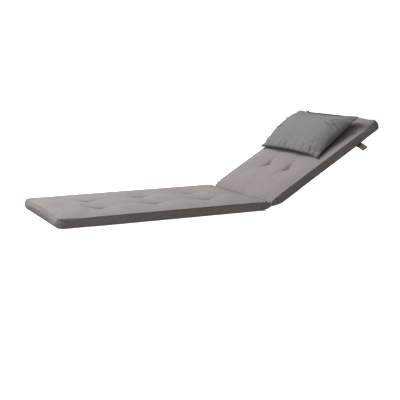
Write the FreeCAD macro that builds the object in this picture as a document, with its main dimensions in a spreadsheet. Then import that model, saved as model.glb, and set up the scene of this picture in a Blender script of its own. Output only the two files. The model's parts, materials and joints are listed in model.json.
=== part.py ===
import FreeCAD, Part
import os

# Cushion set of a reclining sun lounger, in millimetres.
# The seat section lies flat, its underside centred on the origin. The back section is hinged on the
# top crease at the fold and is drawn raised by recline_angle. +X runs towards the head, +Z is up,
# and the near side is -Y.

SIZES = [
    # overall sizes of the two sections
    ("pad_width", 650), ("seat_length", 1126), ("back_length", 786), ("pad_thickness", 50),
    ("corner_radius", 48), ("cloth_thickness", 1.2), ("recline_angle", 30.45),
    # sewn fold between the sections
    ("fold_gap", 0.6), ("fold_top_radius", 16), ("fold_under_radius", 20), ("fold_seam_depth", 28),
    ("fold_web_thickness", 2.4), ("fold_web_gap", 0.8), ("fold_web_inset", 6),
    # tufts and the thread ties that pull them in
    ("tuft_start", 265), ("tuft_pitch", 292), ("tuft_spread", 205), ("tuft_mouth_radius", 30),
    ("tuft_floor_radius", 9), ("tuft_depth", 14), ("tie_radius", 1.5), ("tie_recess", 0.5),
    ("tie_bar_length", 14), ("tie_bar_width", 3), ("tie_bar_height", 1.2),
    # fastening tabs in the lower seams of the back section
    ("tab_start", 582), ("tab_width", 38), ("tab_length", 50), ("tab_thickness", 1.6), ("tab_droop", 24),
    ("tab_seam_height", 2), ("tab_axis_gap", 1.5), ("patch_margin", 2), ("patch_start", 12),
    ("patch_thickness", 1.2),
    # care label in the lower seam of the seat section
    ("label_start", 30), ("label_width", 28), ("label_length", 18), ("label_thickness", 0.5),
    ("label_height", 0.8), ("label_gap", 0.6),
    # head pillow
    ("pillow_width", 580), ("pillow_length", 330), ("pillow_start", 377), ("pillow_lift_off_pad", 16.8),
    ("pillow_tilt", 7.2), ("pillow_offset", 22), ("shoulder_inset", 34), ("shoulder_height", 34),
    ("crown_inset", 105), ("crown_height", 62), ("under_inset", 110), ("under_depth", 27.2),
    # hook and loop strips that hold the pillow on the back section
    ("strip_length", 300), ("strip_width", 24), ("strip_thickness", 1.4), ("strip_inset", 2),
    # zip in the upper seam of the pillow
    ("zip_length", 420), ("zip_pocket_depth", 10), ("zip_tape_width", 12), ("zip_tape_thickness", 1),
    ("coil_width", 5), ("coil_height", 3), ("stop_length", 4), ("stop_margin", 0.5), ("slide_gap", 0.4),
    ("slider_length", 14), ("slider_wall", 1.5), ("ear_height", 8.6), ("ear_wall", 1.6),
    ("ear_spacing", 5.2), ("axle_radius", 0.8), ("axle_clearance", 0.1), ("eye_radius", 2.2),
    ("pull_length", 27), ("pull_width", 8), ("pull_thickness", 1.2), ("pull_neck", 3.2),
    # holes are cut this much longer than what they pass through
    ("cut_margin", 1),
]

doc = FreeCAD.newDocument("LoungerCushion")
sheet = doc.addObject("Spreadsheet::Sheet", "sizes")
for row, (alias, value) in enumerate(SIZES, start=1):
    sheet.set("A%d" % row, alias)
    sheet.set("B%d" % row, str(value))
    sheet.setAlias("B%d" % row, alias)
doc.recompute()

NODES = []


def sized(text):
    """Turn every size name in an expression into a reference to the sheet."""
    names = sorted((alias for alias, _ in SIZES), key=len, reverse=True)
    words = text.replace("(", " ( ").replace(")", " ) ").split(" ")
    return "".join("sizes." + word if word in names else word for word in words)


def bind(thing, **expressions):
    """Bind properties of a feature to expressions written in size names."""
    for name, text in expressions.items():
        thing.setExpression(name, sized(text))
    return thing


def place(thing, x="0", y="0", z="0", axis="0; -1; 0", angle="0"):
    """Bind a Placement: a shift, and a turn about one axis."""
    shift = "vector(%s; %s; %s)" % (sized(x), sized(y), sized(z))
    turn = "rotation(vector(%s); %s)" % (axis, sized(angle))
    thing.setExpression("Placement", "placement(%s; %s)" % (shift, turn))
    return thing


def box(name, length, width, height, **where):
    solid = doc.addObject("Part::Box", name)
    bind(solid, Length=length, Width=width, Height=height)
    return place(solid, **where)


def cylinder(name, radius, height, **where):
    solid = doc.addObject("Part::Cylinder", name)
    bind(solid, Radius=radius, Height=height)
    return place(solid, **where)


def cut(name, base, *tools):
    for count, tool in enumerate(tools):
        result = doc.addObject("Part::Cut", name if tool is tools[-1] else "%s_%d" % (name, count))
        result.Base, result.Tool = base, tool
        base = result
    return base


def fuse(name, shapes):
    result = doc.addObject("Part::MultiFuse", name)
    result.Shapes = shapes
    return result


def common(name, first, second):
    result = doc.addObject("Part::Common", name)
    result.Base, result.Tool = first, second
    return result


def node(thing, label):
    """Mark a finished sub-part: its label names its STEP file."""
    thing.Label = label
    NODES.append(thing)
    return thing


# ---- where each section lies -------------------------------------------------------------------
# A section is drawn flat, its fold end on x = 0 and its top face on z = 0.

SEAT_PLACE = dict(x="seat_length / 2", z="pad_thickness", axis="0; 0; 1", angle="180")
BACK_PLACE = dict(x="seat_length / 2", z="pad_thickness", angle="recline_angle")


def on_back(along, above):
    """World x and z of a point on the back section, from its distance along and above it."""
    x = "seat_length / 2 + ( %s ) * cos ( recline_angle ) - ( %s ) * sin ( recline_angle )"
    z = "pad_thickness + ( %s ) * sin ( recline_angle ) + ( %s ) * cos ( recline_angle )"
    return dict(x=x % (along, above), z=z % (along, above))


def section_solid(name, length, side_inset, face_inset):
    """A flat slab with rounded outer corners in plan and a rounded fold end."""
    body = doc.addObject("PartDesign::Body", name)
    slab = body.newObject("PartDesign::AdditiveBox", name + "_slab")
    start = "fold_gap + %s" % face_inset
    bind(slab, Length="%s - %s - ( %s )" % (length, side_inset, start),
         Width="pad_width - 2 * %s" % side_inset, Height="pad_thickness - 2 * %s" % face_inset)
    place(slab, x=start, y="%s - pad_width / 2" % side_inset, z="%s - pad_thickness" % face_inset)
    doc.recompute()
    far_end = slab.Shape.BoundBox.XMax
    middle = slab.Shape.BoundBox.Center.z

    groups = [
        ("corners", "corner_radius - %s" % side_inset,
         lambda p: abs(p.x - far_end) < 1e-3 and abs(p.z - middle) < 1e-3),
        ("fold_top", "fold_top_radius - %s" % face_inset,
         lambda p: p.x < far_end / 4 and p.z > middle + 1e-3 and abs(p.y) < 1e-3),
        ("fold_under", "fold_under_radius - %s" % face_inset,
         lambda p: p.x < far_end / 4 and p.z < middle - 1e-3 and abs(p.y) < 1e-3),
    ]
    base = slab
    for part_name, radius, wanted in groups:
        found = [("Edge%d" % (i + 1)) for i, edge in enumerate(base.Shape.Edges)
                 if wanted(edge.CenterOfMass)]
        rounding = body.newObject("PartDesign::Fillet", "%s_%s" % (name, part_name))
        rounding.Base = (base, found)
        bind(rounding, Radius=radius)
        doc.recompute()
        base = rounding
    body.Tip = base
    return body


def tufts(name, rows, make):
    """Repeat one shape at every tuft of a section, in rows of two."""
    return [make("%s_%d" % (name, 2 * row + (side > 0)),
                 "tuft_start + %d * tuft_pitch" % row, "%d * tuft_spread / 2" % side)
            for row in range(rows) for side in (-1, 1)]


def dimple(drop):
    def make(name, x, y):
        cone = doc.addObject("Part::Cone", name)
        bind(cone, Radius1="tuft_floor_radius", Radius2="tuft_mouth_radius", Height="tuft_depth")
        return place(cone, x=x, y=y, z="0 - tuft_depth - %s" % drop)
    return make


def tie_hole(name, x, y):
    return cylinder(name, "tie_radius", "pad_thickness + cut_margin",
                    x=x, y=y, z="0 - pad_thickness - cut_margin")


def tie(name, x, y):
    thread = cylinder(name + "_thread", "tie_radius", "pad_thickness - tie_recess - tuft_depth",
                      x=x, y=y, z="tie_recess - pad_thickness")
    bar = box(name + "_bar", "tie_bar_length", "tie_bar_width", "tie_bar_height",
              x="%s - tie_bar_length / 2" % x, y="%s - tie_bar_width / 2" % y, z="0 - tuft_depth")
    return fuse(name, [thread, bar])


def section(prefix, length, rows, where):
    """One padded section: foam core, top and bottom panels, side band and tuft ties."""
    outer = section_solid(prefix + "_outer", length, "0", "0")
    lined = section_solid(prefix + "_lined", length, "0", "cloth_thickness")
    inner = section_solid(prefix + "_inner", length, "cloth_thickness", "cloth_thickness")
    dents = fuse(prefix + "_dents", tufts(prefix + "_dent", rows, dimple("0")))
    deep_dents = fuse(prefix + "_deep_dents",
                      tufts(prefix + "_deep_dent", rows, dimple("cloth_thickness")))
    holes = fuse(prefix + "_holes", tufts(prefix + "_hole", rows, tie_hole))

    core = cut(prefix + "_core", inner, deep_dents, holes)
    node(place(core, **where), prefix + "_foam_core")

    band = cut(prefix + "_band", lined, inner)
    node(place(band, **where), prefix + "_side_band")

    lining = cut(prefix + "_lining", lined, deep_dents)
    cover = cut(prefix + "_cover", outer, dents, lining, holes)
    span = "pad_width + 2 * cut_margin"
    reach = "%s + 2 * cut_margin" % length
    top_half = box(prefix + "_top_half", reach, span, "fold_seam_depth + cut_margin",
                   x="0 - cut_margin", y="0 - pad_width / 2 - cut_margin", z="0 - fold_seam_depth")
    low_half = box(prefix + "_low_half", reach, span, "pad_thickness - fold_seam_depth + cut_margin",
                   x="0 - cut_margin", y="0 - pad_width / 2 - cut_margin",
                   z="0 - pad_thickness - cut_margin")
    node(place(common(prefix + "_top", cover, top_half), **where), prefix + "_top_panel")
    node(place(common(prefix + "_bottom", cover, low_half), **where), prefix + "_bottom_panel")

    ties = doc.addObject("Part::Compound", prefix + "_ties")
    ties.Links = tufts(prefix + "_tie", rows, tie)
    node(place(ties, **where), prefix + "_tuft_ties")


section("seat", "seat_length", 3, SEAT_PLACE)
section("back", "back_length", 2, BACK_PLACE)

# ---- sewn fold ---------------------------------------------------------------------------------
# The web runs between the two fold ends at the depth of the fold seam, and leans by half the
# recline.

end_reach = "fold_seam_depth * tan ( recline_angle / 2 ) + fold_gap"
web_length = "2 * ( %s ) * cos ( recline_angle / 2 ) - 2 * fold_web_gap" % end_reach
web = box("web", web_length, "pad_width - 2 * fold_web_inset", "fold_web_thickness",
          x="seat_length / 2 - fold_gap + fold_web_gap * cos ( recline_angle / 2 )"
            " + fold_web_thickness / 2 * sin ( recline_angle / 2 )",
          y="fold_web_inset - pad_width / 2",
          z="pad_thickness - fold_seam_depth + fold_web_gap * sin ( recline_angle / 2 )"
            " - fold_web_thickness / 2 * cos ( recline_angle / 2 )",
          angle="recline_angle / 2")
node(web, "fold_web")

# ---- fastening tabs ----------------------------------------------------------------------------

AXIS_ACROSS = "pad_width / 2 + tab_axis_gap"
AXIS_ABOVE = "tab_seam_height - pad_thickness"
PATCH_WIDTH = "tab_width - 2 * patch_margin"
PATCH_LENGTH = "tab_length - patch_start - patch_margin"


def hanging(name, side, width, length, thickness, along, out, above):
    """A strip that droops from a tab's axis; out and above follow the strip's own slope."""
    sign = -1 if side == "near" else 1
    low = "( 0 - ( %s ) - ( %s ) )" % (out, length) if side == "near" else "( %s )" % out
    strip = doc.addObject("Part::Box", name)
    bind(strip, Length=width, Width=length, Height=thickness)
    place(strip, x=along,
          y="%d * ( %s ) + %s * cos ( tab_droop ) + %d * ( %s ) * sin ( tab_droop )" % (
              sign, AXIS_ACROSS, low, sign, above),
          z="%s - %d * %s * sin ( tab_droop ) + ( %s ) * cos ( tab_droop )" % (
              AXIS_ABOVE, sign, low, above),
          axis="%d; 0; 0" % -sign, angle="tab_droop")
    piece = doc.addObject("Part::Compound", name + "_laid")
    piece.Links = [strip]
    return place(piece, **BACK_PLACE)


for side in ("near", "far"):
    node(hanging("tab_" + side, side, "tab_width", "tab_length", "tab_thickness", "tab_start",
                 "0 - tab_thickness / 2", "0 - tab_thickness / 2"), "strap_%s_tab" % side)
    node(hanging("patch_" + side, side, PATCH_WIDTH, PATCH_LENGTH, "patch_thickness",
                 "tab_start + patch_margin", "patch_start", "tab_thickness / 2"),
         "strap_%s_hook_patch" % side)

# ---- care label --------------------------------------------------------------------------------

label = box("label", "label_width", "label_length", "label_thickness",
            x="seat_length / 2 - label_start - label_width",
            y="0 - pad_width / 2 - label_gap - label_length", z="label_height")
node(label, "care_label")

# ---- head pillow -------------------------------------------------------------------------------
# Drawn with its lower edge on x = 0 and its seam on z = 0, then laid on the back section.

PILLOW_ANGLE = "recline_angle + pillow_tilt"
PILLOW_PLACE = dict(y="pillow_offset", angle=PILLOW_ANGLE,
                    **on_back("pillow_start", "pillow_lift_off_pad"))


def taper(name, low, high, low_inset, high_inset, up):
    """A tapered slab above or below the seam; wedges taper along their own y."""
    slab = doc.addObject("Part::Wedge", name)
    bind(slab, Ymin=low, Ymax=high,
         Xmin=low_inset, Xmax="pillow_length - ( %s )" % low_inset,
         Zmin="%s - pillow_width / 2" % low_inset, Zmax="pillow_width / 2 - ( %s )" % low_inset,
         X2min=high_inset, X2max="pillow_length - ( %s )" % high_inset,
         Z2min="%s - pillow_width / 2" % high_inset, Z2max="pillow_width / 2 - ( %s )" % high_inset)
    return place(slab, axis="1; 0; 0", angle="90" if up else "-90")


def pillow_front(name, inset):
    lower = taper(name + "_shoulder", "0", "shoulder_height - %s" % inset, inset,
                  "shoulder_inset + %s" % inset, True)
    upper = taper(name + "_crown", "shoulder_height - %s" % inset, "crown_height - %s" % inset,
                  "shoulder_inset + %s" % inset, "crown_inset + %s" % inset, True)
    return fuse(name, [lower, upper])


def pillow_under(name, inset):
    return taper(name, "0", "under_depth - %s" % inset, inset, "under_inset + %s" % inset, False)


zip_pocket = box("zip_pocket", "zip_pocket_depth + cut_margin", "zip_length", "zip_tape_width",
                 x="pillow_length - zip_pocket_depth", y="0 - zip_length / 2",
                 z="0 - zip_tape_width / 2")
front_inner = pillow_front("front_inner", "cloth_thickness")
under_inner = pillow_under("under_inner", "cloth_thickness")
front_panel = cut("front_panel", pillow_front("front_outer", "0"), front_inner, zip_pocket)
back_panel = cut("under_panel", pillow_under("under_outer", "0"), under_inner, zip_pocket)
filling = cut("filling", fuse("filled", [front_inner, under_inner]), zip_pocket)
node(place(front_panel, **PILLOW_PLACE), "pillow_front_panel")
node(place(back_panel, **PILLOW_PLACE), "pillow_back_panel")
node(place(filling, **PILLOW_PLACE), "pillow_fill")


def in_pillow(along, across, above):
    """World place of a point drawn in the pillow's own directions."""
    corner = on_back("pillow_start", "pillow_lift_off_pad")
    turned = (along, PILLOW_ANGLE, above, PILLOW_ANGLE)
    return dict(x=corner["x"] + " + ( %s ) * cos ( %s ) - ( %s ) * sin ( %s )" % turned,
                y="pillow_offset + %s" % across,
                z=corner["z"] + " + ( %s ) * sin ( %s ) + ( %s ) * cos ( %s )" % turned,
                angle=PILLOW_ANGLE)


STRIP_ALONG = "under_inset + strip_inset"
loop_strip = box("loop_strip", "strip_width", "strip_length", "strip_thickness",
                 **in_pillow(STRIP_ALONG, "0 - strip_length / 2", "0 - under_depth - strip_thickness"))
node(loop_strip, "pillow_loop_strip")
hook_along = "pillow_start + ( %s ) * cos ( pillow_tilt ) + under_depth * sin ( pillow_tilt )" % STRIP_ALONG
hook_strip = box("hook_strip", "strip_width", "strip_length", "strip_thickness",
                 y="pillow_offset - strip_length / 2", angle="recline_angle", **on_back(hook_along, "0"))
node(hook_strip, "back_hook_strip")

# ---- zip ---------------------------------------------------------------------------------------
# The zip faces out of the pillow's upper seam; the slider straddles the coil and the pull lies flat.

TAPE_FLOOR = "pillow_length - zip_pocket_depth"
COIL_FLOOR = "%s + zip_tape_thickness" % TAPE_FLOOR
COIL_REACH = "zip_length / 2 - stop_length"

tape = box("tape", "zip_tape_thickness", "zip_length", "zip_tape_width",
           **in_pillow(TAPE_FLOOR, "0 - zip_length / 2", "0 - zip_tape_width / 2"))
node(tape, "pillow_zip_tape")
coil = box("coil", "coil_height", "2 * ( %s )" % COIL_REACH, "coil_width",
           **in_pillow(COIL_FLOOR, "0 - ( %s )" % COIL_REACH, "0 - coil_width / 2"))
node(coil, "pillow_zip_coil")
stops = doc.addObject("Part::Compound", "stops")
stops.Links = [box("stop_%d" % end, "coil_height + 2 * stop_margin", "stop_length",
                   "coil_width + 2 * stop_margin", x=COIL_FLOOR,
                   y="0 - zip_length / 2" if end < 0 else COIL_REACH,
                   z="0 - coil_width / 2 - stop_margin")
               for end in (-1, 1)]
node(place(stops, **PILLOW_PLACE), "pillow_zip_stops")

# slider parts, drawn in the pillow's directions, closed end at +y
SLIDER_MIDDLE = "%s - slide_gap - slider_length / 2" % COIL_REACH
HALF_GROOVE = "( coil_width / 2 + slide_gap )"
HALF_SLIDER = "( coil_width / 2 + slide_gap + slider_wall )"
PLATE_FLOOR = "%s + coil_height + slide_gap" % COIL_FLOOR
PLATE_TOP = "%s + slider_wall" % PLATE_FLOOR
AXLE_ALONG = "%s + ear_height - eye_radius" % PLATE_TOP

shell = box("slider_shell", "coil_height + slider_wall", "slider_length", "2 * %s" % HALF_SLIDER,
            x="%s + slide_gap" % COIL_FLOOR, y="%s - slider_length / 2" % SLIDER_MIDDLE,
            z="0 - %s" % HALF_SLIDER)
groove = box("slider_groove", "coil_height + cut_margin", "slider_length + 2 * cut_margin",
             "2 * %s" % HALF_GROOVE, x="%s + slide_gap - cut_margin" % COIL_FLOOR,
             y="%s - slider_length / 2 - cut_margin" % SLIDER_MIDDLE, z="0 - %s" % HALF_GROOVE)
ears = [box("ear_%d" % side, "ear_height", "2 * eye_radius", "ear_wall",
            x=PLATE_TOP, y="%s - eye_radius" % SLIDER_MIDDLE,
            z="ear_spacing / 2" if side > 0 else "0 - ear_spacing / 2 - ear_wall")
        for side in (-1, 1)]
axle = cylinder("axle", "axle_radius", "ear_spacing",
                x=AXLE_ALONG, y=SLIDER_MIDDLE, z="0 - ear_spacing / 2")
slider = fuse("slider", [cut("slider_channel", shell, groove)] + ears + [axle])
node(place(slider, **PILLOW_PLACE), "zip_slider")

eye = cylinder("eye", "eye_radius", "ear_spacing - 2 * slide_gap",
               x=AXLE_ALONG, y=SLIDER_MIDDLE, z="slide_gap - ear_spacing / 2")
neck = box("neck", "pull_thickness", "pull_neck", "ear_spacing - 2 * slide_gap",
           x="%s - pull_thickness / 2" % AXLE_ALONG, y=SLIDER_MIDDLE, z="slide_gap - ear_spacing / 2")
leaf = box("leaf", "pull_thickness", "pull_length - pull_neck", "pull_width",
           x="%s - pull_thickness / 2" % AXLE_ALONG, y="%s + pull_neck" % SLIDER_MIDDLE,
           z="0 - pull_width / 2")
bore = cylinder("eye_bore", "axle_radius + axle_clearance", "ear_spacing",
                x=AXLE_ALONG, y=SLIDER_MIDDLE, z="0 - ear_spacing / 2")
pull = cut("pull", fuse("pull_blank", [eye, neck, leaf]), bore)
node(place(pull, **PILLOW_PLACE), "zip_pull")

# ---- check and export --------------------------------------------------------------------------

doc.recompute()
for thing in doc.Objects:
    if "Invalid" in thing.State or "Error" in thing.State:
        raise RuntimeError("%s did not compute: %s" % (thing.Name, thing.State))
for thing in NODES:
    if thing.Shape.isNull() or not thing.Shape.isValid() or not thing.Shape.Solids:
        raise RuntimeError("%s has no valid solid" % thing.Label)

os.makedirs("parts", exist_ok=True)
for thing in NODES:
    thing.Shape.exportStep("parts/%s.step" % thing.Label)
    bounds = thing.Shape.BoundBox
    print("%-24s %2d solid(s) %10.1f mm3  x %.1f..%.1f  y %.1f..%.1f  z %.1f..%.1f" % (
        thing.Label, len(thing.Shape.Solids), thing.Shape.Volume,
        bounds.XMin, bounds.XMax, bounds.YMin, bounds.YMax, bounds.ZMin, bounds.ZMax))
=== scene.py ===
# %% [markdown]
# # Cushion set of a reclining sun lounger
# The set is a tufted mattress in two boxed sections, joined by a sewn fold, with a head pillow.
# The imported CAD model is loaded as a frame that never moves. It gives every size and place used
# below. Blender adds what cloth does: crowned faces, puckers, seams, stitches and weave.

# %% Load the frame
import json
import math

import bmesh
import bpy
import numpy as np
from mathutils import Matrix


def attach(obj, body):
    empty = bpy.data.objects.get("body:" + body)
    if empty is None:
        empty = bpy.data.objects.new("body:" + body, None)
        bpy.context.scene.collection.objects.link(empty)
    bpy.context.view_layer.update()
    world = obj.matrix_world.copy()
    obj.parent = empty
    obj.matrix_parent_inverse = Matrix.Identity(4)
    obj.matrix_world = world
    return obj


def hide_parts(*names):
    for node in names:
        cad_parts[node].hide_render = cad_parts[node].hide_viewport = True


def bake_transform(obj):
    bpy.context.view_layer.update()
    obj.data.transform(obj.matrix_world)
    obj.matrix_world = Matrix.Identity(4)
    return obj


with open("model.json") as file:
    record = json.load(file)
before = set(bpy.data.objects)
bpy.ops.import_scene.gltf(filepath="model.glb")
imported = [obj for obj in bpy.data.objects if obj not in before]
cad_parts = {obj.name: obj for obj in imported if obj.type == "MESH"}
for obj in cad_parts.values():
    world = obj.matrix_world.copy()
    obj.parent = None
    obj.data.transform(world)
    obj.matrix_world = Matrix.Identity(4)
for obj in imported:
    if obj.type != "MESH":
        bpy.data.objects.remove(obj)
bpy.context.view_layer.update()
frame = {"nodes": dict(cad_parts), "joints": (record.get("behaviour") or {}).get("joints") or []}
MM = 0.001

# %% [markdown]
# The seat section lies flat and the back section leans on its hinge, which runs along the top
# crease of the fold. It is easier to sew both sections flat and lay them in place afterwards, so
# each gets its own directions: along from the fold, across, and above the top face.

# %% Directions of the two sections and of the pillow
joints = {joint["name"]: joint for joint in frame["joints"]}
recline = joints["back_recline"]
FOLD = np.array(recline["pos_m"])
LEAN = -math.radians(recline["range_deg"][0])


class Lay:
    """A place to work in: an origin and the directions along, across and above."""

    def __init__(self, origin, along, across, above):
        self.origin = np.array(origin, float)
        self.turn = np.array([along, across, above], float)

    def out(self, points):
        return np.asarray(points, float) @ self.turn + self.origin

    def back(self, points):
        return (np.asarray(points, float) - self.origin) @ self.turn.T


def leaning(angle):
    """Directions along, across and above, turned up by an angle."""
    cos, sin = math.cos(angle), math.sin(angle)
    return (cos, 0, sin), (0, 1, 0), (-sin, 0, cos)


seat_lay = Lay(FOLD, (-1, 0, 0), (0, -1, 0), (0, 0, 1))
back_lay = Lay(FOLD, *leaning(LEAN))


def node_points(node):
    data = frame["nodes"][node].data
    flat = np.zeros(len(data.vertices) * 3, np.float32)
    data.vertices.foreach_get("co", flat)
    return flat.reshape(-1, 3).astype(float)


def node_box(node, lay):
    """Lowest and highest corner of a CAD node in a lay's own directions."""
    points = lay.back(node_points(node))
    return points.min(0), points.max(0)


def islands(node, lay, gap=40 * MM):
    """Middles of the separate solids of a CAD node, such as the ties, found by their spacing."""
    points = lay.back(node_points(node))
    middles = []
    while len(points):
        near = np.linalg.norm(points[:, :2] - points[0, :2], axis=1) < gap
        middles.append((points[near].min(0) + points[near].max(0)) / 2)
        points = points[~near]
    return np.array(middles)


seat_low, seat_high = node_box("seat_side_band", seat_lay)
back_high = node_box("back_side_band", back_lay)[1]
THICK = -node_box("seat_bottom_panel", seat_lay)[0][2]
WIDTH = seat_high[1] - seat_low[1]
SEAT_LENGTH, BACK_LENGTH = seat_high[0], back_high[0]
seat_ties = islands("seat_tuft_ties", seat_lay)
back_ties = islands("back_tuft_ties", back_lay)
print("sections %.0f and %.0f long, %.0f wide, %.0f thick; %d + %d tufts" % (
    SEAT_LENGTH / MM, BACK_LENGTH / MM, WIDTH / MM, THICK / MM, len(seat_ties), len(back_ties)))

# %% [markdown]
# Cloth pieces are built from arrays of points. A regular net of four-sided faces suits cloth
# better than a remeshed block: its rows follow the seams, and its flat positions become the UV
# map, in metres, that the weave is drawn on.

# %% Mesh helpers
def mesh_object(name, points, faces, uv=None, materials=(), slots=None, edges=()):
    """A smooth mesh object at the origin; uv is one pair for each corner of each face."""
    data = bpy.data.meshes.new(name)
    data.from_pydata([tuple(p) for p in points], edges, [tuple(int(i) for i in f) for f in faces])
    for material in materials:
        data.materials.append(material)
    if slots is not None:
        data.polygons.foreach_set("material_index", np.asarray(slots, np.int32))
    if uv is not None:
        layer = data.uv_layers.new(name="cloth")
        layer.data.foreach_set("uv", np.asarray(uv, np.float32).ravel())
    data.polygons.foreach_set("use_smooth", [True] * len(data.polygons))
    data.update()
    made = bpy.data.objects.new(name, data)
    bpy.context.scene.collection.objects.link(made)
    return made


def edge_ends(thing):
    """The two points of every edge."""
    flat = np.zeros(len(thing.data.edges) * 2, np.int32)
    thing.data.edges.foreach_get("vertices", flat)
    return flat.reshape(-1, 2)


def mark_sharp(thing, sharp):
    layer = thing.data.attributes.new("sharp_edge", "BOOLEAN", "EDGE")
    layer.data.foreach_set("value", sharp)


def baked(thing):
    """Replace an object's mesh by what its modifiers make, and drop the modifiers."""
    depsgraph = bpy.context.evaluated_depsgraph_get()
    final = bpy.data.meshes.new_from_object(thing.evaluated_get(depsgraph))
    thing.modifiers.clear()
    old, thing.data = thing.data, final
    bpy.data.meshes.remove(old)
    return thing


def net_quads(index):
    """The four-sided faces of a net whose points are numbered by index."""
    corners = [index[:-1, :-1], index[1:, :-1], index[1:, 1:], index[:-1, 1:]]
    return np.stack(corners, -1).reshape(-1, 4)


def tube_faces(rings):
    """The four-sided faces between closed rings of points, as a list."""
    onward = np.roll(rings, -1, 1)
    quads = np.stack([rings[:-1], onward[:-1], onward[1:], rings[1:]], -1)
    return [tuple(quad) for quad in quads.reshape(-1, 4)]


def smoothstep(value):
    value = np.clip(value, 0, 1)
    return value * value * (3 - 2 * value)


# %% [markdown]
# A boxed section is two panels and a side band. At the fold both panels run down to the sewn
# line, a little below half the depth, so the end tapers like the end of a pillow. The net below
# has one grid for the top, one for the bottom and rings between them for the band. Its rows lie
# closer together near the fold, where the cloth gathers in small folds.

# %% Sizes of the net
STEP = 6.5 * MM
FINE_STEP = 3.2 * MM
NECK = 112 * MM            # length of the closely netted part beside the fold
BAND_ROWS = 8
CORNER = 48 * MM
SEAM_DEPTH = 28 * MM       # sewn line of the fold below the top face
TIP = 2.5 * MM             # half the height of the tapered tip
TOP_TAPER = 30 * MM        # how far from the fold the top starts to fall
UNDER_TAPER = 62 * MM      # how far from the fold the underside starts to rise
SEAM_DROP = 3.5 * MM       # top seam below the CAD's top face, so the crown stays near it
EDGE_IN = 2.0 * MM         # band starts this far inside, to have room to swell
SOFT_FROM = 230 * MM       # over this last stretch the seams sink into a rounder edge
EDGE_ROUND = 8.5 * MM
EDGE_BULGE = 0.8           # share of the round taken off where the band meets a seam
TUFT_DEPTH = 11 * MM
TUFT_REACH = 22 * MM
UNDER_TUFT = 4 * MM
UNDER_REACH = 18 * MM


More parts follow.
